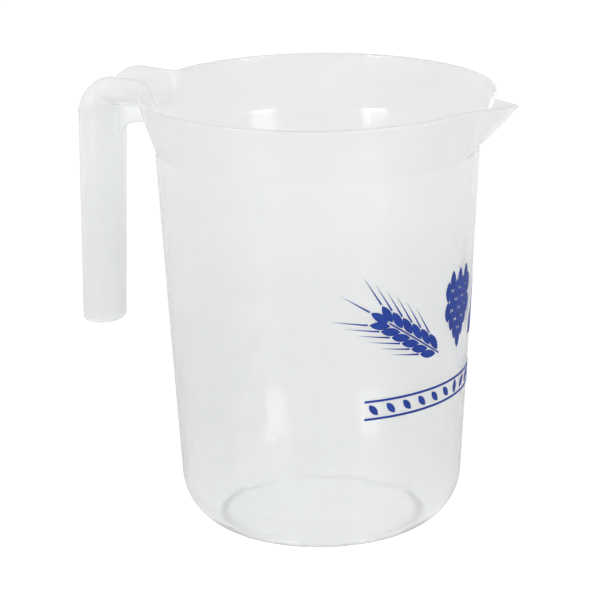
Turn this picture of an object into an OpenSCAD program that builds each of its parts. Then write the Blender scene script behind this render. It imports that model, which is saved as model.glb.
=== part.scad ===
// Stackable beer pitcher, moulded in one shot in natural polypropylene and screen-printed in blue.
// The table plane is z = 0, the jug's axis is Z, the spout points along +X and the handle along -X.
// The moulding is drawn as its seven sections, which meet face to face; the ink lies on the wall.

/* [Jug] */
// Height from the table to the rim
jug_h = 171.8; // [150:0.1:200]
// Outside diameter of the rim
rim_d = 140; // [134:0.1:150]
// Height of the flared collar below the rim
collar_h = 21.6; // [19:0.1:28]
// Outside diameter where the collar springs from the wall
collar_foot_d = 125.7; // [118:0.1:130]
// Outside diameter of the wall's cone, carried down to the table
wall_foot_d = 108.2; // [100:0.1:116]
// Thickness of every wall, measured level
wall_t = 1.7; // [1.2:0.1:2.2]

/* [Base] */
// Outside radius of the rounded corner between wall and base
corner_r = 21.7; // [16:0.1:26]
// How much of the corner's arc the foot cuts off flat
foot_cut = 1.4; // [1:0.1:2]
// Width of the ring that stands on the table
foot_w = 4.5; // [3:0.1:7]
// Height of the floor inside the jug
floor_z = 4.6; // [3.6:0.1:7]
// Thickness of the floor over the recess in the underside
floor_t = 2; // [1.4:0.1:2.6]

/* [Spout] */
// Distance from the rim to the tip of the spout
spout_overhang = 14.8; // [11:0.1:20]
// Rise of the tip above the rim
spout_lift = 1.4; // [0.4:0.1:3]
// Height of the keel's foot above the collar's foot
keel_foot_h = 0.8; // [0.3:0.1:3]
// Half angle of the V, seen from above
spout_half_angle = 43; // [36:1:50]
// Outside radius along the keel of the V
keel_r = 2.6; // [2.4:0.1:4]

/* [Handle] */
// Distance from the rim to the outside of the grip at rim height
grip_overhang = 31.9; // [28:0.1:38]
// Thickness of the grip at its upper end, towards the jug
grip_t = 15.2; // [12:0.1:18]
// Width of the trough, and of the grip at its upper end
grip_w = 24.4; // [21:0.1:29]
// Length of the grip below the rim
grip_len = 103.2; // [86:0.1:116]
// How much further out the outside of the grip lies at its lower end
grip_splay = 2.2; // [0:0.1:5]
// Thickness of the grip at its lower end
grip_end_t = 15; // [12:0.1:17]
// Width of the grip at its lower end
grip_end_w = 18.8; // [16:0.1:24]
// Radius around the grip's closed lower end
grip_end_r = 2.4; // [1:0.1:3.4]
// Outside depth of the trough that joins collar and grip
trough_h = 12.5; // [10:0.1:16]
// Outside radius of the trough's two lower corners
trough_r = 8; // [5:0.1:9]
// Depth of the stiffening rib under the trough
rib_h = 7.5; // [4:0.1:10]
// Thickness of the stiffening rib
rib_t = 2; // [1.4:0.1:3]
// Radius with which the rib runs out on the grip
rib_r = 4; // [2:0.1:6]
// Radius over which the trough's edges drop to the outer lip of the grip
crest_r = 17; // [13:0.1:21]
// Rise of the trough's edges above the rim, where they begin to drop
crest_lift = 0.4; // [0:0.1:1.5]
// Depth of the trough's edges below the rim, at the collar
crest_dip = 0.3; // [0.1:0.1:1.5]

/* [Print] */
// Thickness of the ink film, drawn thicker than a real film so that it is a solid
ink_t = 0.15; // [0.05:0.01:0.3]
// Length of one barley ear without its beard
ear_l = 38; // [30:0.5:42]
// Tilt of the ears from level
ear_tilt = 34; // [20:1:45]
// Turn of each ear's middle around the jug from the spout
ear_turn = 29; // [26:1:34]
// Height of each ear's middle
ear_z = 88; // [80:0.5:100]
// Length of one barley grain
grain_l = 8.4; // [6:0.1:10]
// Width of one barley grain
grain_w = 3.2; // [2:0.1:4]
// Length of one hair of the beard
awn_l = 13; // [8:0.1:18]
// Height of the middle of the hop cone below the spout
hop_z = 92; // [85:0.5:105]
// Length of one scale of the hop cone
scale_l = 8; // [6:0.1:10]
// Width of one scale of the hop cone
scale_w = 3.6; // [2.5:0.1:4.5]
// Height of the middle of the border
border_z = 60; // [52:0.5:66]
// Height of the border
border_h = 8; // [6:0.1:12]
// Turn of the border's ends around the jug from the spout
border_turn = 47; // [30:1:60]
// Thickness of the border's two lines
line_t = 0.9; // [0.5:0.1:1.5]

/* [Hidden] */

pp_colour = "#e3e8e7";
ink_colour = "#24409a";

// Cuts run past what they cut by this much
overrun = 6;
// Thickness of the plates that a loft is drawn between
plate_t = 0.02;
// Circle sides of revolved and extruded forms, and of lofted plates
round_sides = 128;
loft_sides = 56;

// The wall's line, and the collar's line above it
rim_r = rim_d / 2;
collar_z = jug_h - collar_h;
collar_r = collar_foot_d / 2;
wall_slope = (collar_foot_d - wall_foot_d) / 2 / collar_z;
wall_draft = atan(wall_slope);
collar_slope = (rim_r - collar_r) / collar_h;
function wall_r(z) = wall_foot_d / 2 + wall_slope * z;

// The corner's arc touches the wall's line, and the inner arc has the same centre
corner_z = corner_r - foot_cut;
corner_x = wall_r(corner_z) - corner_r / cos(wall_draft);
corner_inner_r = corner_r - wall_t * cos(wall_draft);
foot_r = corner_x + sqrt(pow(corner_r, 2) - pow(corner_z, 2));
recess_r = foot_r - foot_w;
recess_z = floor_z - floor_t;

// The keel of the spout climbs from low on the collar to the tip
spout_reach = rim_r + spout_overhang;
keel_foot_z = collar_z + keel_foot_h;
keel_foot_r = collar_r + collar_slope * keel_foot_h;
keel_run = spout_reach - keel_foot_r;
keel_rise = jug_h + spout_lift - keel_foot_z;
keel_l = norm([keel_run, keel_rise]);
keel_lean = atan2(keel_run, keel_rise);
vee_half_angle = atan(tan(spout_half_angle) / cos(keel_lean));

keel_steps = 3;

// The grip's outside and middle, at its upper end and at its lower end
grip_reach = rim_r + grip_overhang;
grip_end_reach = grip_reach + grip_splay;
grip_x = grip_reach - grip_t / 2;
grip_end_x = grip_end_reach - grip_end_t / 2;
grip_end_z = jug_h - grip_len;
trough_z = jug_h - trough_h;
trough_half = grip_w / 2;
crest_z = jug_h + crest_lift;

// Powers of the curves around the grip's section: 2 is an oval, and a higher one is squarer
outer_power = 4;
inner_power = 2;

// The grip tapers from the trough's underside to its lower end, and above that hardly at all
straight_share = 0.1;
function grip_share(z) = (trough_z - z) / (trough_z - grip_end_z) * (z > trough_z ? straight_share : 1);
function grip_thick(z) = grip_t + (grip_end_t - grip_t) * grip_share(z);
function grip_wide(z) = grip_w + (grip_end_w - grip_w) * grip_share(z);
function grip_middle(z) = grip_x + (grip_end_x - grip_x) * grip_share(z);

rib_z = trough_z - rib_h;
end_steps = 3;

// Shares of the print's own sizes
ear_pairs = 6;
grain_lean = 24;
awn_root_share = 0.22;
stem_share = 0.2;
grain_stand_share = 1.5;
hop_rows = [1, 2, 3, 4, 3, 4, 3];
hop_pitch_share = 0.5;
hop_spread_share = 1.62;
border_leaves = 13;
leaf_length_share = 0.9;
leaf_width_share = 0.42;
leaf_lean = 40;

// Half profile of the jug's outside from the table up, filled to the axis
module outside_profile() {
    tangent_x = corner_x + corner_r * cos(wall_draft);
    tangent_z = corner_z - corner_r * sin(wall_draft);
    polygon([[0, tangent_z], [tangent_x, tangent_z], [collar_r, collar_z], [rim_r, jug_h], [0, jug_h]]);
    intersection() {
        translate([corner_x, corner_z]) circle(corner_r, $fn = round_sides);
        translate([corner_x, 0]) square([corner_r, tangent_z]);
    }
    square([corner_x, tangent_z]);
}

// Half profile of the room inside the jug, filled to the axis and open above the rim
module inside_profile() {
    tangent_x = corner_x + corner_inner_r * cos(wall_draft);
    tangent_z = corner_z - corner_inner_r * sin(wall_draft);
    above = jug_h + overrun;
    polygon([[0, tangent_z], [tangent_x, tangent_z], [collar_r - wall_t, collar_z],
             [rim_r - wall_t, jug_h], [rim_r - wall_t + collar_slope * overrun, above], [0, above]]);
    intersection() {
        translate([corner_x, corner_z]) circle(corner_inner_r, $fn = round_sides);
        translate([corner_x, floor_z]) square([corner_inner_r, tangent_z - floor_z]);
    }
    translate([0, floor_z]) square([corner_x, tangent_z - floor_z]);
}

// Full turn of a half profile, begun at the side of the jug, clear of spout and handle
module full_turn() {
    rotate([0, 0, 90]) rotate_extrude($fn = round_sides) children();
}

// A level slice of the jug's shell between two heights
module shell_slice(low, high) {
    full_turn() intersection() {
        difference() {
            outside_profile();
            inside_profile();
        }
        translate([0, low]) square([rim_d, high - low]);
    }
}

// Everything inside the jug's outside face, carried on above the rim along the collar's cone
module jug_core() {
    full_turn()
        polygon([[0, corner_z], [wall_r(corner_z), corner_z], [collar_r, collar_z],
                 [rim_r + collar_slope * overrun, jug_h + overrun], [0, jug_h + overrun]]);
}

// V seen along the keel, its rounded nose on the keel line; inset moves all faces inwards
module vee(inset) {
    nose_r = keel_r - inset;
    nose_turn = 90 - vee_half_angle;
    side_l = rim_d / 2;
    end_x = nose_r * cos(nose_turn) - keel_r - side_l * sin(nose_turn);
    end_y = nose_r * sin(nose_turn) + side_l * cos(nose_turn);
    nose = [for (step = [-keel_steps : keel_steps])
        [nose_r * cos(nose_turn * step / keel_steps) - keel_r, nose_r * sin(nose_turn * step / keel_steps)]];
    polygon(concat(nose, [[end_x, end_y], [end_x, -end_y]]));
}

// The V carried along the keel, from inside the collar to past the tip
module spout_prism(inset) {
    translate([keel_foot_r, 0, keel_foot_z]) rotate([0, keel_lean, 0]) translate([0, 0, -overrun])
        linear_extrude(keel_l + overrun * 2) vee(inset);
}

// Side view of all that lies below the spout's rising lip
module below_lip() {
    lip_slope = spout_lift / (spout_reach - rim_r);
    far = spout_reach + overrun;
    rotate([90, 0, 0]) linear_extrude(rim_d, center = true)
        polygon([[0, corner_z], [far, corner_z], [far, jug_h + lip_slope * (far - rim_r)],
                 [rim_r, jug_h], [0, jug_h]]);
}

// U of the trough seen from the grip, open at the top; inset moves its faces inwards
module trough_profile(inset, top) {
    half = trough_half - inset;
    bottom = trough_z + inset;
    bend = trough_r - inset;
    translate([-half, bottom + bend]) square([half * 2, top - bottom - bend]);
    translate([bend - half, bottom]) square([(half - bend) * 2, bend]);
    for (side = [-1, 1]) translate([side * (half - bend), bottom + bend]) circle(bend, $fn = round_sides);
}

// The U carried along -X between two distances from the jug's axis
module trough_bar(inset, near, far, top) {
    translate([-near, 0, 0]) rotate([90, 0, -90]) linear_extrude(far - near) trough_profile(inset, top);
}

// Room inside the trough, from the middle of the jug into the grip, open above
module trough_room() {
    trough_bar(wall_t, corner_x, grip_x, jug_h + overrun);
}

// Place on the grip's section, turned from its outside; the half that faces the jug is rounder
function section_place(turn, thick, wide) =
    let (power = cos(turn) > 0 ? outer_power : inner_power)
        [-sign(cos(turn)) * pow(abs(cos(turn)), 2 / power) * thick / 2,
         sign(sin(turn)) * pow(abs(sin(turn)), 2 / power) * wide / 2];

// Level plate, the loft's section at one height
module section(middle, thick, wide, z) {
    translate([-middle, 0, z]) linear_extrude(plate_t)
        polygon([for (step = [0 : loft_sides - 1]) section_place(360 * step / loft_sides, thick, wide)]);
}

// Tapered finger with a rounded lower end; inset moves its faces inwards and lifts its end
module finger(inset, top) {
    round_r = max(grip_end_r - inset, plate_t);
    low = grip_end_z + inset;
    hull() {
        for (z = [top, trough_z])
            section(grip_middle(z), grip_thick(z) - inset * 2, grip_wide(z) - inset * 2, z);
        for (step = [0 : end_steps]) {
            turn = 90 * step / end_steps;
            z = low + round_r * (1 - sin(turn));
            tuck = (inset + round_r * (1 - cos(turn))) * 2;
            section(grip_middle(z), grip_thick(z) - tuck, grip_wide(z) - tuck, z);
        }
    }
}

// Side view of all that lies below the handle's edge, which rounds down to the grip's level outer lip
module below_crest() {
    turn_x = grip_reach - wall_t - crest_r;
    far = grip_end_reach + overrun;
    rotate([90, 0, 0]) linear_extrude(grip_w * 2, center = true) mirror([1, 0]) {
        polygon([[0, 0], [turn_x, 0], [turn_x, crest_z], [rim_r, jug_h - crest_dip], [0, jug_h - crest_dip]]);
        translate([turn_x, crest_z - crest_r]) circle(crest_r, $fn = round_sides);
        translate([turn_x, 0]) square([far - turn_x, crest_z - crest_r]);
    }
}

// Side view of the rib, with its run-out on the grip's inner face
module rib_profile() {
    face_x = grip_reach - grip_t;
    translate([corner_x, rib_z]) square([grip_x - corner_x, rib_h]);
    difference() {
        translate([face_x - rib_r, rib_z - rib_r]) square([grip_x - face_x + rib_r, rib_r]);
        translate([face_x - rib_r, rib_z - rib_r]) circle(rib_r, $fn = round_sides);
    }
}

// Film that wraps the wall, between two heights
module film(low, high) {
    full_turn()
        polygon([[wall_r(low), low], [wall_r(low) + ink_t, low], [wall_r(high) + ink_t, high],
                 [wall_r(high), high]]);
}

// Lays a flat motif on the wall: turn goes round from the spout, z is the motif's middle
module lay(turn, z, reach) {
    intersection() {
        film(z - reach, z + reach);
        rotate([0, 0, turn]) translate([0, 0, z]) rotate([90, 0, 90]) linear_extrude(rim_d) children();
    }
}

// Pointed oval along X, made of two arcs
module leaf(length, width) {
    arc_r = (pow(length, 2) + pow(width, 2)) / (4 * width);
    shift = arc_r - width / 2;
    intersection() {
        translate([0, shift]) circle(arc_r, $fn = round_sides);
        translate([0, -shift]) circle(arc_r, $fn = round_sides);
    }
}

// Barley ear along X with its beard: pairs of grains on a stem, and one grain at the tip
module ear() {
    pitch = ear_l / (ear_pairs + 1);
    stem_t = grain_w * stem_share;
    translate([-ear_l / 2, -stem_t / 2]) square([ear_l - grain_l, stem_t]);
    translate([(ear_l - grain_l) / 2 + stem_t, 0]) bearded_grain();
    for (pair = [1 : ear_pairs], side = [-1, 1])
        translate([pitch * pair - ear_l / 2, side * (grain_w / 2 + stem_t * grain_stand_share)])
            rotate(side * grain_lean) bearded_grain();
}

// One grain along X with its hair, which thins to a point
module bearded_grain() {
    root = grain_w * awn_root_share;
    leaf(grain_l, grain_w);
    translate([grain_l / 2 + root, 0]) polygon([[0, -root / 2], [awn_l, 0], [0, root / 2]]);
}

// Hop cone hanging down: rows of scales, each pointing at the cone's tip
module hop() {
    pitch = scale_l * hop_pitch_share;
    spread = scale_w * hop_spread_share;
    for (row = [0 : len(hop_rows) - 1], place = [1 : hop_rows[row]])
        translate([(place - (hop_rows[row] + 1) / 2) * spread, (row - (len(hop_rows) - 1) / 2) * pitch])
            rotate(90) leaf(scale_l, scale_w);
}

// Line round the wall between the border's two ends
module border_line(z) {
    rotate([0, 0, -border_turn]) rotate_extrude(angle = border_turn * 2, $fn = round_sides)
        polygon([[wall_r(z), z], [wall_r(z) + ink_t, z], [wall_r(z + line_t) + ink_t, z + line_t],
                 [wall_r(z + line_t), z + line_t]]);
}

module base() {
    color(pp_colour) difference() {
        shell_slice(0, corner_z);
        full_turn()
            polygon([[0, -overrun], [recess_r, -overrun], [recess_r, 0],
                     [recess_r - recess_z * wall_slope, recess_z], [0, recess_z]]);
    }
}

module wall() {
    color(pp_colour) shell_slice(corner_z, collar_z);
}

module collar() {
    color(pp_colour) difference() {
        shell_slice(collar_z, jug_h);
        spout_prism(wall_t);
        trough_room();
    }
}

module spout() {
    color(pp_colour) difference() {
        intersection() {
            spout_prism(0);
            below_lip();
        }
        spout_prism(wall_t);
        jug_core();
    }
}

module handle_trough() {
    color(pp_colour) difference() {
        intersection() {
            trough_bar(0, corner_x, grip_x, crest_z);
            below_crest();
        }
        trough_room();
        finger(0, jug_h + overrun);
        jug_core();
    }
}

module handle_rib() {
    color(pp_colour) difference() {
        rotate([90, 0, 0]) linear_extrude(rib_t, center = true) mirror([1, 0]) rib_profile();
        finger(0, jug_h + overrun);
        jug_core();
    }
}

module handle_grip() {
    color(pp_colour) difference() {
        intersection() {
            finger(0, jug_h + overrun);
            below_crest();
        }
        finger(wall_t, jug_h + overrun);
        trough_room();
    }
}

module print_left_ear() {
    color(ink_colour) lay(-ear_turn, ear_z, ear_l) rotate(180 - ear_tilt) ear();
}

module print_right_ear() {
    color(ink_colour) lay(ear_turn, ear_z, ear_l) rotate(ear_tilt) ear();
}

module print_hop() {
    color(ink_colour) lay(0, hop_z, scale_l * len(hop_rows) / 2) hop();
}

module print_border() {
    leaf_room = border_h - line_t * 2;
    color(ink_colour) {
        border_line(border_z - border_h / 2);
        border_line(border_z + border_h / 2 - line_t);
        for (place = [0 : border_leaves - 1])
            lay(border_turn * ((place + 0.5) / border_leaves * 2 - 1), border_z, border_h)
                rotate(90 - leaf_lean * sign(place - (border_leaves - 1) / 2))
                    leaf(leaf_room * leaf_length_share, leaf_room * leaf_width_share);
    }
}

base();
wall();
collar();
spout();
handle_trough();
handle_rib();
handle_grip();
print_left_ear();
print_right_ear();
print_hop();
print_border();
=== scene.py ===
from math import acos, asin, atan2, cos, pi, radians, sin, sqrt, tan

import bmesh
import bpy
import numpy as np
from mathutils import Matrix


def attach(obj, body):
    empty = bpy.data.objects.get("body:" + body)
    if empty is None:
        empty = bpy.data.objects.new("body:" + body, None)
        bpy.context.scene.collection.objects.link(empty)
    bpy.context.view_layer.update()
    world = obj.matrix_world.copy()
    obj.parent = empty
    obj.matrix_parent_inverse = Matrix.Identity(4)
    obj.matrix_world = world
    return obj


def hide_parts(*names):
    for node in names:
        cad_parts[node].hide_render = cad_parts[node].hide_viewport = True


# Looks of a stackable beer pitcher: one hollow moulding in natural polypropylene with a blue screen print.
# Sizes are in millimetres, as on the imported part, and become metres when a mesh is made.
# The spout points along +X and the handle along -X.

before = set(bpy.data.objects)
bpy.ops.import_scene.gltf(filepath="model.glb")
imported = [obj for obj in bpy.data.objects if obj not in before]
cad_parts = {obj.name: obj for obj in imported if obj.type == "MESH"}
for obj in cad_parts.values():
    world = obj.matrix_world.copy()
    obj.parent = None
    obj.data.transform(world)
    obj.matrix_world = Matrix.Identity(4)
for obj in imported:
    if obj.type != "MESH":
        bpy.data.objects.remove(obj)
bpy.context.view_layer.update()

MM = 0.001

# Jug
JUG_H = 171.8
RIM_R = 70.0
COLLAR_H = 21.6
COLLAR_FOOT_R = 62.85
WALL_FOOT_R = 54.1
WALL_T = 1.7
CORNER_R = 21.7
FOOT_CUT = 1.4
FOOT_W = 4.5
FLOOR_Z = 4.6
FLOOR_T = 2.0

COLLAR_Z = JUG_H - COLLAR_H
WALL_SLOPE = (COLLAR_FOOT_R - WALL_FOOT_R) / COLLAR_Z
WALL_DRAFT = atan2(COLLAR_FOOT_R - WALL_FOOT_R, COLLAR_Z)
COLLAR_SLOPE = (RIM_R - COLLAR_FOOT_R) / COLLAR_H
CORNER_Z = CORNER_R - FOOT_CUT
CORNER_X = WALL_FOOT_R + WALL_SLOPE * CORNER_Z - CORNER_R / cos(WALL_DRAFT)
FOOT_R = CORNER_X + sqrt(CORNER_R ** 2 - CORNER_Z ** 2)
RECESS_R = FOOT_R - FOOT_W
RECESS_Z = FLOOR_Z - FLOOR_T

# Spout
SPOUT_OVERHANG = 14.8
SPOUT_LIFT = 1.4
KEEL_FOOT_H = 0.8
SPOUT_HALF_ANGLE = radians(43)
KEEL_R = 2.6

KEEL_FOOT_Z = COLLAR_Z + KEEL_FOOT_H
KEEL_FOOT_R = COLLAR_FOOT_R + COLLAR_SLOPE * KEEL_FOOT_H
KEEL_LEAN = atan2(RIM_R + SPOUT_OVERHANG - KEEL_FOOT_R, JUG_H + SPOUT_LIFT - KEEL_FOOT_Z)
NOSE_TURN = pi / 2 - atan2(tan(SPOUT_HALF_ANGLE), cos(KEEL_LEAN))

# Handle
GRIP_OVERHANG = 31.9
GRIP_LEN = 103.2
GRIP_T = 15.2
GRIP_W = 24.4
GRIP_SPLAY = 2.2
GRIP_END_T = 15.0
GRIP_END_W = 18.8
GRIP_END_R = 2.4
# Least radius around the inside of the grip's closed end
GRIP_INNER_END_R = 0.4
# Above the trough's floor the grip keeps only this share of its taper
STRAIGHT_SHARE = 0.1
# Power of the curve around the grip's outer half: 2 is an oval, and a higher one is squarer
OUTER_POWER = 4
TROUGH_H = 12.5
TROUGH_R = 8.0
RIB_H = 7.5
RIB_T = 2.0
# How deep the rib is sunk into the faces that carry it
RIB_SEAT = 0.6
CREST_R = 17.0
CREST_LIFT = 0.4
CREST_DIP = 0.3

GRIP_REACH = RIM_R + GRIP_OVERHANG
GRIP_X = GRIP_REACH - GRIP_T / 2
GRIP_END_X = GRIP_REACH + GRIP_SPLAY - GRIP_END_T / 2
GRIP_END_Z = JUG_H - GRIP_LEN
TROUGH_Z = JUG_H - TROUGH_H
TROUGH_HALF = GRIP_W / 2
CREST_X = GRIP_REACH - WALL_T - CREST_R
CREST_Z = JUG_H + CREST_LIFT

# Small radii of the mould that the solids leave out or draw smaller
LIP = 0.6
KINK_BLEND = 0.2
CREASE_BLEND = 0.5
FLOOR_FILLET = 3.0
FOOT_FILLET = 0.7
RIB_GRIP_FILLET = 8.0
RIB_COLLAR_FILLET = 5.0
MOUTH_FILLET = 3.0
# How far the fillet around the trough's mouth turns from the trough towards the collar
MOUTH_TURN = radians(74)
# Reach of the easing around the trough's ends in steps of the mesh, and its rounds
JUNCTION_STEPS = 2
JUNCTION_ROUNDS = 4

# Mesh around the jug: turns from the spout in degrees, and the steps from each turn to the next,
# close together at the keel and at the handle
COLUMN_TURNS = (0, 3, 27, 162, 180)
COLUMN_STEPS = (8, 20, 72, 12)
# Mesh up the jug: steps of the corner outside and inside, how many of the inside ones the floor's fillet
# takes the place of, and steps of the wall
OUTER_CORNER_STEPS = 20
INNER_CORNER_STEPS = 16
FLOOR_FILLET_SKIP = 3
WALL_STEPS = 13
# Mesh of the collar: how far from its kink the even rows start, how far the close rows at the kink reach,
# and the number of close rows and of even rows
KINK_REACH = 2.0
KINK_NEAR = 0.9
KINK_ROWS = 5
COLLAR_ROWS = 16
# Mesh around the trough's U: steps up each side and across the floor
SIDE_STEPS = 9
FLOOR_STEPS = 16
# Mesh along the trough: steps, how much they crowd towards the collar, and a last row beside the grip
TROUGH_STEPS = 22
TROUGH_CROWDING = 1.5
TROUGH_LAST_ROW = 0.97
# Mesh of the grip: steps around its outer half, rows below the trough, steps of the rounding at its end
GRIP_OUTER_STEPS = 24
GRIP_ROWS = 23
END_STEPS = 4
# Mesh of the rib: rows along it, levels up its sides, steps around its lower edge
RIB_ROWS = 30
RIB_LEVELS = 8
RIB_ROUND_STEPS = 7
# Steps over which a grid is drawn towards its opening, steps across the lip, and steps of a rounded corner
EASE_STEPS = 6
LIP_STEPS = 6
ROUND_STEPS = 4
# Rounds until a height and the reach that it depends on agree, on the rim and on the grip's outer lip
RIM_ROUNDS = 4
OUTER_LIP_ROUNDS = 40
# Edges that are sharper than this stay sharp
SHARP_ANGLE = radians(40)


def soft_max(a, b, width):
    """The larger of two radii, with a fillet where they are about the same."""
    near = np.clip(1 - np.abs(a - b) / width, 0, None)
    return np.maximum(a, b) + near * near * width / 4


def spout_radius(turn, z, inset):
    """Distance from the axis to the spout's V in a level section; turn goes round from the spout."""
    ahead, aside = np.cos(turn), np.abs(np.sin(turn))
    keel = (KEEL_FOOT_R + (z - KEEL_FOOT_Z) * tan(KEEL_LEAN)) * cos(KEEL_LEAN)
    flat_x, flat_y = cos(KEEL_LEAN) * cos(NOSE_TURN), sin(NOSE_TURN)
    reach = KEEL_R * (1 - cos(NOSE_TURN)) - inset + keel * cos(NOSE_TURN)
    in_front = ahead > cos(SPOUT_HALF_ANGLE)
    flank = np.where(in_front, reach / np.where(in_front, ahead * flat_x + aside * flat_y, 1), 0)
    centre = keel - KEEL_R
    a = (ahead * cos(KEEL_LEAN)) ** 2 + aside ** 2
    b = -ahead * cos(KEEL_LEAN) * centre
    under = b * b - a * (centre ** 2 - (KEEL_R - inset) ** 2)
    nose = (np.sqrt(np.clip(under, 0, None)) - b) / a
    on_nose = (under > 0) & (np.arctan2(nose * aside, nose * ahead * cos(KEEL_LEAN) - centre) < NOSE_TURN)
    return np.where(on_nose & in_front, nose, flank)


def jug_radius(turn, z, inset):
    """Distance from the axis to the jug's face, inset from the outside, with the spout pressed out."""
    wall = WALL_FOOT_R + WALL_SLOPE * z
    collar = COLLAR_FOOT_R + COLLAR_SLOPE * (z - COLLAR_Z)
    plain = soft_max(wall, collar, KINK_BLEND)
    return soft_max(plain - inset, spout_radius(turn, z, inset), CREASE_BLEND + inset)


def back_radius(z, inset):
    """Distance from the axis to the jug's face on the handle's side."""
    return float(jug_radius(np.array(pi), np.array(z), inset))


def lip_height(turn, inset):
    """Height of the rim's edge, which rises along the spout to its tip."""
    top = np.full_like(turn, JUG_H)
    for _ in range(RIM_ROUNDS):
        ahead = jug_radius(turn, top, inset) * np.cos(turn) - RIM_R
        top = JUG_H + np.clip(ahead, 0, None) * SPOUT_LIFT / SPOUT_OVERHANG
    return top - LIP


def crest(reach):
    """Height of the handle's edge at a distance from the axis: a slant, a rounding and a level outer lip."""
    if reach < CREST_X:
        return CREST_Z - LIP - (CREST_X - reach) * (CREST_LIFT + CREST_DIP) / (CREST_X - RIM_R)
    radius, room = CREST_R - LIP, GRIP_REACH - CREST_X
    # Past this distance the rounding is eased out, so that it meets the outer lip level
    ease = (sqrt(room ** 2 + 8 * radius ** 2) - room) / 2
    past = min(reach - CREST_X, room)
    fall = sqrt(radius ** 2 - min(past, ease) ** 2)
    return CREST_Z - CREST_R + fall * ((room - max(past, ease)) / (room - ease)) ** 2


def rounded(corners, radius):
    """A line of (r, z) corners with every inner corner rounded off."""
    path = [corners[0]]
    for before, here, after in zip(corners, corners[1:], corners[2:]):
        here = np.array(here, float)
        back, ahead = (np.array(end, float) - here for end in (before, after))
        back, ahead = back / np.linalg.norm(back), ahead / np.linalg.norm(ahead)
        half = acos(np.clip(back @ ahead, -1, 1)) / 2
        centre = here + (back + ahead) / np.linalg.norm(back + ahead) * radius / sin(half)
        start, end = (here + side * radius / tan(half) - centre for side in (back, ahead))
        painted_light_sweep = pi - 2 * half
        for share in np.linspace(0, 1, ROUND_STEPS + 1):
            arm = start * sin((1 - share) * painted_light_sweep) + end * sin(share * painted_light_sweep)
            path.append(tuple(centre + arm / sin(painted_light_sweep)))
    return path + [corners[-1]]


def corner_arc(radius, low_angle, steps):
    """Points of the corner between base and wall, from an angle below level up to the wall's line."""
    return [(CORNER_X + radius * cos(angle), CORNER_Z + radius * sin(angle))
            for angle in np.linspace(low_angle, -WALL_DRAFT, steps + 1)]


def lower_profile(inset):
    """Half profile of the jug below the collar, from near the axis: underside and outside, or inside."""
    if inset:
        radius = CORNER_R - inset * cos(WALL_DRAFT)
        arc = corner_arc(radius, asin((FLOOR_Z - CORNER_Z) / radius), INNER_CORNER_STEPS)
        above = arc[FLOOR_FILLET_SKIP:]
        line = rounded([(RECESS_R / 2, FLOOR_Z), arc[0], above[0]], FLOOR_FILLET)[:-1] + above
    else:
        arc = corner_arc(CORNER_R, -acos((FOOT_R - CORNER_X) / CORNER_R), OUTER_CORNER_STEPS)
        line = rounded([(RECESS_R / 2, RECESS_Z), (RECESS_R - RECESS_Z * WALL_SLOPE, RECESS_Z),
                        (RECESS_R, 0), (FOOT_R - FOOT_FILLET, 0)], FOOT_FILLET) + arc[1:]
    rows = np.linspace(arc[-1][1], COLLAR_Z - KINK_REACH, WALL_STEPS + 1)[1:-1]
    return line + [(WALL_FOOT_R + WALL_SLOPE * z - inset, z) for z in rows]


def trough_place(step, inset, top):
    """Point (y, z) of the trough's U, whose steps run from the +Y edge down and up to the -Y edge."""
    half, bottom, bend = TROUGH_HALF - inset, TROUGH_Z + inset, TROUGH_R - inset
    eighth = bend * pi / 4
    last = SIDE_STEPS * 2 + FLOOR_STEPS
    side = 1 if step * 2 <= last else -1
    step = min(step, last - step)
    if step <= SIDE_STEPS:
        past = -(eighth + top - bottom - bend) * (1 - step / SIDE_STEPS)
    else:
        past = (eighth + half - bend) * (step - SIDE_STEPS) * 2 / FLOOR_STEPS
    turn = min(max(pi / 4 + past / bend, 0), pi / 2)
    y = half - bend + bend * cos(turn) - max(past - eighth, 0)
    z = bottom + bend - bend * sin(turn) + max(-past - eighth, 0)
    return side * y, z


def mouth_flare(past, inset):
    """Widening of the trough at a distance from the collar: a fillet all around its mouth."""
    radius = MOUTH_FILLET + inset
    short = min(max(radius * sin(MOUTH_TURN) - past, 0), radius)
    return radius - sqrt(radius ** 2 - short ** 2)


def grip_share(z):
    """How far down its taper the grip is at a height."""
    share = (TROUGH_Z - z) / (TROUGH_Z - GRIP_END_Z)
    return np.where(z > TROUGH_Z, share * STRAIGHT_SHARE, share)


def grip_ring(angle, z, inset):
    """Point of the grip's section; the angle is zero on the outside and a half turn facing the jug."""
    share = grip_share(z)
    power = np.where(np.cos(angle) > 0, 2 / OUTER_POWER, 1)
    out = np.sign(np.cos(angle)) * np.abs(np.cos(angle)) ** power
    aside = np.sign(np.sin(angle)) * np.abs(np.sin(angle)) ** power
    middle = GRIP_X + (GRIP_END_X - GRIP_X) * share
    thick = (GRIP_T + (GRIP_END_T - GRIP_T) * share) / 2 - inset
    wide = (GRIP_W + (GRIP_END_W - GRIP_W) * share) / 2 - inset
    return np.stack([-(middle + thick * out), wide * aside, z + 0 * angle], -1)


def grip_angle(y, z, inset):
    """Angle on the half of the grip's section that faces the jug, at a distance aside."""
    wide = (GRIP_W + (GRIP_END_W - GRIP_W) * float(grip_share(z))) / 2 - inset
    return pi - asin(max(-1, min(1, y / wide)))


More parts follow.
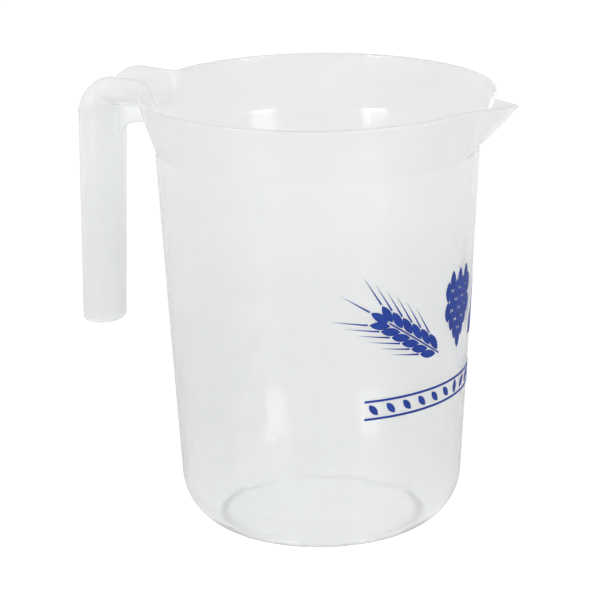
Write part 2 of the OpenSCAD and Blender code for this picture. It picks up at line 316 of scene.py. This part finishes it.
def ease_to_opening(turn, z, floor_row, left, right, targets):
    """Moves a grid's lines near its opening so that the opening's edge follows the trough's U."""
    rows, columns = turn.shape
    moved_turn, moved_z = turn.copy(), z.copy()
    for i in range(rows):
        for j in range(columns):
            edge_i, edge_j = max(i, floor_row), min(max(j, left), right)
            away = max(floor_row - i, left - j, j - right, 0)
            inside = i > floor_row and left < j < right
            if inside or away >= EASE_STEPS:
                continue
            to_turn, to_z = targets[(edge_i, edge_j)]
            share = (1 - away / EASE_STEPS) ** 2
            moved_turn[i, j] += share * (to_turn - turn[edge_i, edge_j])
            moved_z[i, j] += share * (to_z - z[edge_i, edge_j])
    return moved_turn, moved_z


def opening_path(floor_row, left, right, top_row):
    """Grid places along an opening's edge: down its +Y side, across and up its -Y side."""
    down = [(i, left) for i in range(top_row, floor_row, -1)]
    across = [(floor_row, j) for j in range(left, right + 1)]
    return down + across + [(i, right) for i in range(floor_row + 1, top_row + 1)]


def beside_opening(grid, floor_row, left, right):
    """Numbers of a grid's points on its opening's edge and a few steps outside it."""
    return [grid[i, j] for i in range(floor_row - JUNCTION_STEPS, len(grid))
            for j in range(left - JUNCTION_STEPS, right + JUNCTION_STEPS + 1)
            if i <= floor_row or not left < j < right]


class Mesh:
    """Points and faces that are being gathered for one piece."""

    def __init__(self):
        self.points = []
        self.faces = []

    def add(self, places):
        """Adds an array of points and gives back their numbers in the same layout."""
        places = np.asarray(places, float)
        first = len(self.points)
        self.points.extend(places.reshape(-1, 3))
        return first + np.arange(places.size // 3).reshape(places.shape[:-1])

    def skin(self, grid, around=False, hole=None):
        """Four-sided faces over a grid of numbers, joined around or with a hole left open."""
        rows, columns = grid.shape
        for i in range(rows - 1):
            for j in range(columns if around else columns - 1):
                if hole and i >= hole[0] and hole[1] <= j < hole[2]:
                    continue
                k = (j + 1) % columns
                self.faces.append((grid[i, j], grid[i, k], grid[i + 1, k], grid[i + 1, j]))

    def close(self, ring, middle):
        """Fan from a ring of numbers to a point in its middle."""
        centre = self.add([middle])[0]
        for here, after in zip(ring, np.roll(ring, -1)):
            self.faces.append((here, after, centre))

    def round_off(self, numbers, rounds):
        """Eases points towards the middle of their neighbours as a fillet; edge points stay on the edge."""
        uses = {}
        for face in self.faces:
            for pair in zip(face, face[1:] + face[:1]):
                uses[frozenset(pair)] = uses.get(frozenset(pair), 0) + 1
        at_edge = set().union(*(pair for pair, count in uses.items() if count == 1))
        wanted = {int(number): [] for number in numbers}
        for pair, count in uses.items():
            for here, there in (tuple(pair), tuple(pair)[::-1]):
                if here in wanted and (count == 1 or here not in at_edge):
                    wanted[here].append(there)
        for _ in range(rounds):
            moved = {here: np.mean([self.points[there] for there in near], 0)
                     for here, near in wanted.items()}
            for here, middle in moved.items():
                self.points[here] = (self.points[here] + middle) / 2

    def build(self, name, material):
        """Makes the object, in metres."""
        mesh = bpy.data.meshes.new(name)
        mesh.from_pydata([tuple(point * MM) for point in self.points], [], self.faces)
        work = bmesh.new()
        work.from_mesh(mesh)
        bmesh.ops.recalc_face_normals(work, faces=work.faces)
        work.to_mesh(mesh)
        work.free()
        mesh.polygons.foreach_set("use_smooth", [True] * len(mesh.polygons))
        mesh.set_sharp_from_angle(angle=SHARP_ANGLE)
        mesh.materials.append(material)
        piece = bpy.data.objects.new(name, mesh)
        bpy.context.scene.collection.objects.link(piece)
        return piece


def jug_columns():
    """Turns around the jug, all the way from the spout and back to it."""
    half = [np.linspace(start, end, steps, endpoint=False)
            for start, end, steps in zip(COLUMN_TURNS, COLUMN_TURNS[1:], COLUMN_STEPS)]
    half = np.concatenate(half + [COLUMN_TURNS[-1:]])
    return np.radians(np.concatenate([half, 360 - half[-2:0:-1]]))


def jug_skin(mesh, inset):
    """The jug's face with an opening for the trough.
    Gives the numbers along the opening and along the rim, and those to ease beside the opening."""
    columns = jug_columns()
    middle = len(columns) // 2
    left, right = middle - FLOOR_STEPS // 2, middle + FLOOR_STEPS // 2
    kink = np.linspace(-KINK_NEAR, KINK_NEAR, KINK_ROWS)
    above = np.linspace(KINK_REACH, COLLAR_H - LIP, COLLAR_ROWS)
    shares = np.concatenate([[-KINK_REACH], kink, above]) / (COLLAR_H - LIP)
    top_row = len(shares) - 1
    floor_row = top_row - SIDE_STEPS
    z = COLLAR_Z + shares[:, None] * (lip_height(columns, inset) - COLLAR_Z)[None, :]
    turn = np.repeat(columns[None, :], len(shares), 0)
    path = opening_path(floor_row, left, right, top_row)
    mouth = inset - mouth_flare(0, inset)
    top = crest(sqrt((RIM_R - inset) ** 2 - (TROUGH_HALF - mouth) ** 2))
    targets = {}
    for step, place in enumerate(path):
        aside, high = trough_place(step, mouth, top)
        targets[place] = (pi - asin(aside / back_radius(high, inset)), high)
    turn, z = ease_to_opening(turn, z, floor_row, left, right, targets)
    radius = jug_radius(turn, z, inset)
    upper = mesh.add(np.stack([radius * np.cos(turn), radius * np.sin(turn), z], -1))
    low = np.array(lower_profile(inset))
    lower = mesh.add(np.stack([low[:, :1] * np.cos(columns), low[:, :1] * np.sin(columns),
                               np.repeat(low[:, 1:], len(columns), 1)], -1))
    mesh.skin(np.concatenate([lower, upper]), around=True, hole=(len(low) + floor_row, left, right))
    mesh.close(lower[0], (0, 0, low[0, 1]))
    opening = np.array([upper[place] for place in path])
    rim = np.concatenate([upper[-1, right:], upper[-1, :left]])
    return opening, rim, beside_opening(upper, floor_row, left, right)


def grip_skin(mesh, inset):
    """The grip's face with an opening for the trough.
    Gives the numbers along the opening and along the outer lip, and those to ease under the opening."""
    left = GRIP_OUTER_STEPS // 2
    right = left + FLOOR_STEPS
    facing_turn = np.linspace(pi / 2, 3 * pi / 2, FLOOR_STEPS + 1)
    outer_turn = np.linspace(-pi / 2, pi / 2, GRIP_OUTER_STEPS + 1)
    around = np.concatenate([outer_turn[left:-1], facing_turn[:-1], outer_turn[:left] + 2 * pi])
    end_r = max(GRIP_END_R - inset, GRIP_INNER_END_R)
    end_z = GRIP_END_Z + inset
    start_z = end_z + end_r
    side_top = crest(GRIP_X)
    tops = np.full_like(around, side_top)
    for k, angle in enumerate(around):
        if cos(angle) > 0:
            for _ in range(OUTER_LIP_ROUNDS):
                point = grip_ring(np.array(angle), np.array(tops[k]), inset)
                tops[k] = (tops[k] + crest(-point[0])) / 2
    floor_h, side_h = TROUGH_Z + inset - start_z, side_top - start_z
    below = np.linspace(0, floor_h, GRIP_ROWS, endpoint=False)
    above = np.linspace(floor_h, side_h, SIDE_STEPS + 1)
    shares = np.concatenate([below, above]) / side_h
    top_row = len(shares) - 1
    floor_row = top_row - SIDE_STEPS
    z = start_z + shares[:, None] * (tops - start_z)[None, :]
    turn = np.repeat(around[None, :], len(shares), 0)
    path = opening_path(floor_row, left, right, top_row)
    targets = {}
    for step, place in enumerate(path):
        aside, high = trough_place(step, inset, side_top)
        targets[place] = (grip_angle(aside, high, inset), high)
    turn, z = ease_to_opening(turn, z, floor_row, left, right, targets)
    grip = mesh.add(grip_ring(turn, z, inset))
    # The closed end: a ring on its flat, and the rounding around it
    end = [grip_ring(around, np.full_like(around, end_z), inset + GRIP_END_T / 4)]
    for angle in np.linspace(pi / 2, 0, END_STEPS, endpoint=False):
        tuck = end_r * (1 - cos(angle))
        end.append(grip_ring(around, np.full_like(around, start_z - end_r * sin(angle)), inset + tuck))
    end = mesh.add(end)
    mesh.skin(np.concatenate([end, grip]), around=True, hole=(len(end) + floor_row, left, right))
    mesh.close(end[0], (-GRIP_END_X, 0, end_z))
    opening = np.array([grip[place] for place in path])
    outer_lip = np.concatenate([grip[-1, left::-1], grip[-1, :right - 1:-1]])
    return opening, outer_lip, beside_opening(grip[:floor_row + JUNCTION_STEPS], floor_row, left, right)


def trough_skin(mesh, inset, jug_opening, grip_opening):
    """The trough's face between the two openings, in rows across its U. Gives the rows' numbers."""
    shares = np.linspace(0, 1, TROUGH_STEPS + 1)[1:-1] ** TROUGH_CROWDING
    rows = []
    for share in [*shares, TROUGH_LAST_ROW]:
        row = []
        for step, (start, end) in enumerate(zip(jug_opening, grip_opening)):
            near, far = -mesh.points[start][0], -mesh.points[end][0]
            reach = near + (far - near) * share
            widened = inset - mouth_flare(reach - near, inset)
            aside, high = trough_place(step, widened, crest(reach))
            row.append((-reach, aside, high))
        rows.append(row)
    rows = np.concatenate([jug_opening[None], mesh.add(rows), grip_opening[None]])
    mesh.skin(rows)
    return rows


def moulding_skin(mesh, inset):
    """One face of the moulding, outside or inside: jug, grip and trough in one sheet.
    Gives the numbers along its edge."""
    jug_opening, rim, jug_eased = jug_skin(mesh, inset)
    grip_opening, outer_lip, grip_eased = grip_skin(mesh, inset)
    trough = trough_skin(mesh, inset, jug_opening, grip_opening)
    ends = np.concatenate([trough[1:JUNCTION_STEPS + 1], trough[-1 - JUNCTION_STEPS:-1]])
    mesh.round_off(jug_eased + list(ends.ravel()) + grip_eased, JUNCTION_ROUNDS)
    return np.concatenate([rim, trough[:-1, 0], outer_lip, trough[-2:0:-1, -1]])


def edge_direction(point):
    """Upward across the moulding's edge, which leans outwards over the rounding of the handle."""
    reach = -point[0]
    if reach <= CREST_X:
        return np.array([0, 0, 1.0])
    step = 0.1
    lean = np.array([(crest(reach + step) - crest(reach - step)) / (2 * step), 0, 1])
    return lean / np.linalg.norm(lean)


def moulding(material):
    """The whole moulding as one closed wall: outside, inside, and a rounded lip between them."""
    mesh = Mesh()
    outside = moulding_skin(mesh, 0)
    inside = moulding_skin(mesh, WALL_T)
    lip = []
    for angle in np.linspace(0, pi, LIP_STEPS + 1)[1:-1]:
        row = []
        for out, back in zip(outside, inside):
            a, b = mesh.points[out], mesh.points[back]
            middle = (a + b) / 2
            row.append(middle + (a - b) / 2 * cos(angle) + edge_direction(middle) * LIP * sin(angle))
        lip.append(row)
    lip = np.concatenate([outside[None], mesh.add(lip), inside[None]])
    mesh.skin(lip, around=True)
    return mesh.build("pitcher_moulding", material)


def run_out(away, radius):
    """Drop of a fillet at a distance from the face that it runs out on."""
    near = min(max(radius - away, 0), radius)
    return radius - sqrt(radius ** 2 - near ** 2)


def handle_rib(material):
    """Flat stiffening rib under the trough, rounded along its lower edge and run out at both ends."""
    rib_z = TROUGH_Z - RIB_H
    face_x = GRIP_REACH - GRIP_T
    root_x = back_radius(rib_z, 0)
    mouth_x = back_radius(TROUGH_Z - mouth_flare(0, 0), 0)
    mesh = Mesh()
    rows = []
    # Rows lie closer together towards both ends, where the fillets are steep
    for share in (1 - np.cos(np.linspace(0, pi, RIB_ROWS))) / 2:
        reach = root_x + (face_x - root_x) * share
        fall = run_out(face_x - reach, RIB_GRIP_FILLET) + run_out(reach - root_x, RIB_COLLAR_FILLET)
        bottom = rib_z - fall
        top = TROUGH_Z - mouth_flare(max(reach - mouth_x, 0), 0) + RIB_SEAT
        levels = np.linspace(top, bottom + RIB_T / 2, RIB_LEVELS)
        section = [(-RIB_T / 2, level) for level in levels]
        for angle in np.linspace(pi, 2 * pi, RIB_ROUND_STEPS + 1)[1:-1]:
            section.append((RIB_T / 2 * cos(angle), bottom + RIB_T / 2 * (1 + sin(angle))))
        section += [(RIB_T / 2, level) for level in levels[::-1]]
        row = []
        for aside, high in section:
            root = back_radius(high, RIB_SEAT)
            grip_face = -float(grip_ring(np.array(pi), np.array(high), 0)[0]) + RIB_SEAT
            row.append((-(root + (grip_face - root) * share), aside, high))
        rows.append(row)
    grid = mesh.add(rows)
    mesh.skin(grid, around=True)
    half = grid.shape[1] // 2
    for end in (grid[0], grid[-1]):
        mesh.skin(np.stack([end[:half], end[:half - 1:-1]]))
    return mesh.build("handle_rib_plate", material)


WHITE = (1, 1, 1, 1)
# Sockets of a colour mix: its two colours and what comes out
MIX_A = 6
MIX_B = 7
MIX_RESULT = 2


def linear(hex_colour):
    """An sRGB hex colour as linear red, green, blue and full alpha."""
    parts = [int(hex_colour[place:place + 2], 16) / 255 for place in (1, 3, 5)]
    return [c / 12.92 if c <= 0.04045 else ((c + 0.055) / 1.055) ** 2.4 for c in parts] + [1]


def node(tree, kind, settings=None, values=None, links=None):
    """Adds a node: settings are its properties, values its input sockets, links what feeds a socket."""
    made = tree.nodes.new(kind)
    for name, value in (settings or {}).items():
        setattr(made, name, value)
    for name, value in (values or {}).items():
        made.inputs[name].default_value = value
    for name, source in (links or {}).items():
        tree.links.new(source, made.inputs[name])
    return made


def per(millimetres):
    """Scale of a pattern whose features are that far apart."""
    return 1 / (millimetres * MM)


def new_material(name):
    """An empty material and its node tree."""
    material = bpy.data.materials.new(name)
    material.use_nodes = True
    material.node_tree.nodes.clear()
    return material, material.node_tree


# Share of the light that passes a wall without being scattered in its milk, and how far the rest spreads
CLEAR_SHARE = 0.62
MILK_SPREAD = 4.0


def natural_polypropylene():
    """Natural polypropylene, injection moulded against polished steel: thin walls pass clear images
    through a faint milky veil, and the gloss is a little uneven where the melt flowed."""
    material, tree = new_material("natural_polypropylene_injection_moulded")
    place = node(tree, "ShaderNodeTexCoord").outputs["Object"]
    flow = node(tree, "ShaderNodeTexNoise", values={"Scale": per(30), "Detail": 3}, links={"Vector": place})
    haze = node(tree, "ShaderNodeValToRGB", links={"Fac": flow.outputs["Fac"]})
    for stop, position, colour in zip(haze.color_ramp.elements, (0.3, 0.7), ("#edefef", "#f1f3f2")):
        stop.position = position
        stop.color = linear(colour)
    polish = node(tree, "ShaderNodeTexNoise", values={"Scale": per(6), "Detail": 2}, links={"Vector": place})
    gloss = node(tree, "ShaderNodeMapRange", values={"To Min": 0.02, "To Max": 0.05},
                 links={"Value": polish.outputs["Fac"]})
    ripple = node(tree, "ShaderNodeBump", values={"Strength": 0.15, "Distance": 0.05 * MM},
                  links={"Height": polish.outputs["Fac"]})
    # Light that is already inside the wall leaves it clear, so that milk and tone count once per wall
    inside = node(tree, "ShaderNodeNewGeometry").outputs["Backfacing"]
    clear = node(tree, "ShaderNodeMapRange", values={"To Min": CLEAR_SHARE, "To Max": 1},
                 links={"Value": inside})
    tone = node(tree, "ShaderNodeMix", {"data_type": "RGBA"}, values={MIX_B: WHITE},
                links={"Factor": inside, MIX_A: haze.outputs["Color"]})
    # Even walls hardly shift what is seen through them, and light caught in them would draw dark edges.
    # So the body bends light very little, and a coat with the plastic's own index gives the gloss.
    plastic = node(tree, "ShaderNodeBsdfPrincipled",
                   values={"IOR": 1.025, "Subsurface Weight": 1, "Subsurface Radius": (1, 1, 1),
                           "Subsurface Scale": MILK_SPREAD * MM, "Coat Weight": 1, "Coat IOR": 1.49},
                   links={"Base Color": tone.outputs[MIX_RESULT], "Roughness": gloss.outputs["Result"],
                          "Coat Roughness": gloss.outputs["Result"], "Coat Normal": ripple.outputs["Normal"],
                          "Transmission Weight": clear.outputs["Result"], "Normal": ripple.outputs["Normal"]})
    node(tree, "ShaderNodeOutputMaterial", links={"Surface": plastic.outputs["BSDF"]})
    return material


def screen_print_ink():
    """Blue ink screen-printed on flame-treated plastic: flat and satin, a little thinner in patches."""
    material, tree = new_material("blue_ink_screen_printed")
    place = node(tree, "ShaderNodeTexCoord").outputs["Object"]
    patches = node(tree, "ShaderNodeTexNoise", values={"Scale": per(4), "Detail": 4}, links={"Vector": place})
    tone = node(tree, "ShaderNodeValToRGB", links={"Fac": patches.outputs["Fac"]})
    for stop, position, colour in zip(tone.color_ramp.elements, (0.3, 0.75), ("#1a3486", "#21409a")):
        stop.position = position
        stop.color = linear(colour)
    # The mesh of the screen is 0.1 mm fine and is drawn at 0.4 mm so that it shows
    grain = node(tree, "ShaderNodeTexNoise", values={"Scale": per(0.4), "Detail": 1}, links={"Vector": place})
    satin = node(tree, "ShaderNodeMapRange", values={"To Min": 0.4, "To Max": 0.55},
                 links={"Value": grain.outputs["Fac"]})
    bump = node(tree, "ShaderNodeBump", values={"Strength": 0.2, "Distance": 0.02 * MM},
                links={"Height": grain.outputs["Fac"]})
    ink = node(tree, "ShaderNodeBsdfPrincipled", values={"IOR": 1.5, "Specular IOR Level": 0.2},
               links={"Base Color": tone.outputs["Color"], "Roughness": satin.outputs["Result"],
                      "Normal": bump.outputs["Normal"]})
    node(tree, "ShaderNodeOutputMaterial", links={"Surface": ink.outputs["BSDF"]})
    return material


def ray_kinds(tree):
    """Sockets that are 1 where the camera looks straight, and where a gloss or the plastic shows a thing."""
    ray = node(tree, "ShaderNodeLightPath").outputs
    shown = node(tree, "ShaderNodeMath", {"operation": "MAXIMUM"},
                 links={0: ray["Is Glossy Ray"], 1: ray["Is Transmission Ray"]})
    return ray["Is Camera Ray"], shown.outputs["Value"]


# Table: half its width, its even lift to white where it is seen straight, and the painted light it shows
# through the plastic:
# a glow which grows from a near to a far distance, so the table reads brighter far off and dimmer at the
# jug's foot
TABLE_HALF = 4000
TABLE_LIFT = 0.6
TABLE_NEAR = 60
TABLE_NEAR_PAINTED_LIGHT = 0.07
TABLE_FAR = 600
TABLE_FAR_PAINTED_LIGHT = 0.42


def white_laminate():
    """White laminate table: diffuse, with an uneven low gloss. It is lifted to white where it is seen,
    so that only the shadow at the jug's foot is left. Seen through the plastic or in a gloss it carries
    painted light: a glow that grows with distance from the jug, brighter far off and dimmer at the foot."""
    material, tree = new_material("white_laminate_table")
    place = node(tree, "ShaderNodeTexCoord").outputs["Object"]
    speck = node(tree, "ShaderNodeTexNoise", values={"Scale": per(40)}, links={"Vector": place})
    gloss = node(tree, "ShaderNodeMapRange", values={"To Min": 0.5, "To Max": 0.6},
                 links={"Value": speck.outputs["Fac"]})
    straight, shown = ray_kinds(tree)
    away = node(tree, "ShaderNodeVectorMath", {"operation": "LENGTH"}, links={0: place})
    # Painted light: a glow for rays that see the table through the plastic or in a gloss, dim near the jug
    # and brighter far off
    painted_light_sweep = node(tree, "ShaderNodeMapRange",
                 values={"From Min": TABLE_NEAR * MM, "From Max": TABLE_FAR * MM,
                         "To Min": TABLE_NEAR_PAINTED_LIGHT, "To Max": TABLE_FAR_PAINTED_LIGHT},
                 links={"Value": away.outputs["Value"]})
    painted_light_through = node(tree, "ShaderNodeMath", {"operation": "MULTIPLY"},
                  links={0: shown, 1: painted_light_sweep.outputs["Result"]})
    lift = node(tree, "ShaderNodeMapRange", values={"To Max": TABLE_LIFT},
                links={"Value": straight, "To Min": painted_light_through.outputs["Value"]})
    top = node(tree, "ShaderNodeBsdfPrincipled",
               values={"Base Color": linear("#f4f4f4"), "Specular IOR Level": 0.1, "Emission Color": WHITE},
               links={"Roughness": gloss.outputs["Result"], "Emission Strength": lift.outputs["Result"]})
    node(tree, "ShaderNodeOutputMaterial", links={"Surface": top.outputs["BSDF"]})
    return material


def table():
    """Plain pale floor under the jug."""
    mesh = Mesh()
    grid = mesh.add([[(x, y, 0) for x in (-TABLE_HALF, TABLE_HALF)] for y in (-TABLE_HALF, TABLE_HALF)])
    mesh.skin(grid)
    made = mesh.build("table", white_laminate())


# Level of the soft light that the room gives, where white is 1
ROOM_LIGHT = 0.46


def white_room():
    """World: white where it is seen, and a soft even light on everything."""
    world = bpy.data.worlds.new("white_room")
    bpy.context.scene.world = world
    world.use_nodes = True
    tree = world.node_tree
    tree.nodes.clear()
    straight, shown = ray_kinds(tree)
    seen = node(tree, "ShaderNodeMath", {"operation": "MAXIMUM"}, links={0: straight, 1: shown})
    level = node(tree, "ShaderNodeMapRange", values={"To Min": ROOM_LIGHT, "To Max": 1},
                 links={"Value": seen.outputs["Value"]})
    sky = node(tree, "ShaderNodeBackground", values={"Color": WHITE},
               links={"Strength": level.outputs["Result"]})
    node(tree, "ShaderNodeOutputWorld", links={"Surface": sky.outputs["Background"]})


# Camera: where it stands from the jug's axis, and how it is turned
CAMERA_DISTANCE = 1152.35
CAMERA_HEIGHT = 427.8
CAMERA_TURN = radians(26.5)
CAMERA_YAW = radians(-0.377)
CAMERA_PITCH = radians(16.44)
CAMERA_ROLL = radians(-0.871)
CAMERA_LENS = 184.16
CAMERA_SENSOR = 36


def camera():
    """The camera, on the photograph's side of the jug."""
    made = bpy.data.objects.new("camera", bpy.data.cameras.new("camera"))
    made.data.sensor_width = CAMERA_SENSOR
    made.data.lens = CAMERA_LENS
    place = Matrix.Translation((CAMERA_DISTANCE * sin(CAMERA_TURN) * MM,
                                -CAMERA_DISTANCE * cos(CAMERA_TURN) * MM, CAMERA_HEIGHT * MM))
    turned = Matrix.Rotation(CAMERA_TURN - CAMERA_YAW, 4, "Z")
    pitched = Matrix.Rotation(pi / 2 - CAMERA_PITCH, 4, "X")
    made.matrix_world = place @ turned @ pitched @ Matrix.Rotation(CAMERA_ROLL, 4, "Z")
    bpy.context.scene.collection.objects.link(made)
    bpy.context.scene.camera = made


# Tall soft boxes and low strips: distance from the jug's axis, and brightness, where white is 1
BOX_DISTANCE = 1000
BOX_LEVEL = 7
STRIP_DISTANCE = 150
STRIP_LEVEL = 1.6


def softbox(name, distance, level, turn, height, wide, tall, through=True):
    """A soft box that faces the jug's axis; height is that of its middle, and turn goes round from the
    camera's side. One that isn't through can't be seen through the plastic."""
    lamp = bpy.data.lights.new(name, "AREA")
    lamp.shape = "RECTANGLE"
    lamp.size = wide * MM
    lamp.size_y = tall * MM
    lamp.energy = level * pi * wide * tall * MM * MM
    made = bpy.data.objects.new(name, lamp)
    made.matrix_world = (Matrix.Rotation(CAMERA_TURN + turn, 4, "Z")
                         @ Matrix.Translation((0, -distance * MM, height * MM))
                         @ Matrix.Rotation(pi / 2, 4, "X"))
    made.visible_camera = False
    made.visible_transmission = through
    bpy.context.scene.collection.objects.link(made)


def lamps():
    """Two tall soft boxes, mirrored in wall and collar, and two low strips, mirrored at the foot."""
    softbox("left_soft_box", BOX_DISTANCE, BOX_LEVEL, turn=radians(-44), height=249, wide=344, tall=464)
    softbox("right_soft_box", BOX_DISTANCE, BOX_LEVEL, turn=radians(41), height=247, wide=344, tall=467)
    softbox("left_low_strip", STRIP_DISTANCE, STRIP_LEVEL, turn=radians(-28.3), height=16.4, wide=35,
            tall=20.4, through=False)
    softbox("right_low_strip", STRIP_DISTANCE, STRIP_LEVEL, turn=radians(31.6), height=15.6, wide=36,
            tall=20.4, through=False)


plastic = natural_polypropylene()
jug = moulding(plastic)
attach(jug, "root")
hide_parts("base", "wall", "collar", "spout", "handle_trough", "handle_grip")
rib = handle_rib(plastic)
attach(rib, "root")
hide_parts("handle_rib")

ink = screen_print_ink()
for name in ("print_left_ear", "print_right_ear", "print_hop", "print_border"):
    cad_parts[name].data.materials.clear()
    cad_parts[name].data.materials.append(ink)

table()
white_room()
lamps()
camera()
bpy.context.scene.view_settings.view_transform = "Standard"

# Light is followed as far as it runs inside the thin clear walls, and isn't blurred on its way
BOUNCES = 32
light_paths = bpy.context.scene.cycles
light_paths.max_bounces = BOUNCES
light_paths.glossy_bounces = BOUNCES
light_paths.transmission_bounces = BOUNCES
light_paths.blur_glossy = 0
